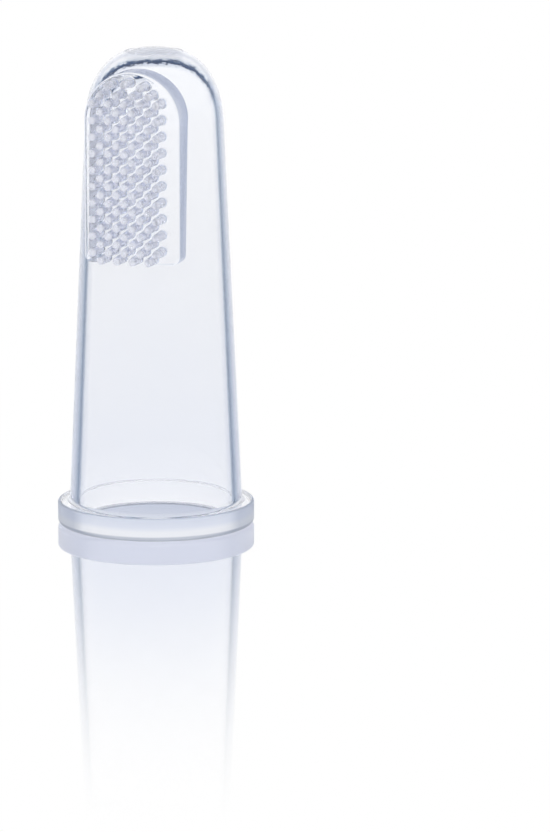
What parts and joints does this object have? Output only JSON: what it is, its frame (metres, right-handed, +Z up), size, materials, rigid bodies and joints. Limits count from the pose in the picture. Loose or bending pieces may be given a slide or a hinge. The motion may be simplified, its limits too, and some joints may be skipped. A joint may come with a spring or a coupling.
{
  "type": "finger toothbrush",
  "caption": "Clear silicone thimble with a raised pad of short staggered bristles on one side and a flat base rim, worn on a fingertip to brush a pet's teeth.",
  "frame": {"origin": "on the axis of the finger tube, in the plane of the rim's underside", "axes": "+Z up along the tube towards the closed end; the bristles point along -Y"},
  "size_m": [0.0232, 0.0241, 0.0565],
  "materials": {
    "polished_silicone": "polished, clear",
    "bristle_silicone": "satin, clear with a faint haze"
  },
  "bodies": {
    "root": {"base_flange": "polished_silicone", "finger_sleeve": "polished_silicone", "dome_tip": "polished_silicone", "brush_pad": "bristle_silicone", "bristle_row_01": "bristle_silicone", "bristle_row_02": "bristle_silicone", "bristle_row_03": "bristle_silicone", "bristle_row_04": "bristle_silicone", "bristle_row_05": "bristle_silicone", "bristle_row_06": "bristle_silicone", "bristle_row_07": "bristle_silicone", "bristle_row_08": "bristle_silicone", "bristle_row_09": "bristle_silicone", "bristle_row_10": "bristle_silicone", "bristle_row_11": "bristle_silicone", "bristle_row_12": "bristle_silicone", "bristle_row_13": "bristle_silicone", "bristle_row_14": "bristle_silicone", "bristle_row_15": "bristle_silicone", "bristle_row_16": "bristle_silicone", "bristle_row_17": "bristle_silicone", "bristle_row_18": "bristle_silicone", "bristle_row_19": "bristle_silicone", "bristle_row_20": "bristle_silicone", "bristle_row_21": "bristle_silicone", "bristle_row_22": "bristle_silicone"}
  },
  "joints": []
}
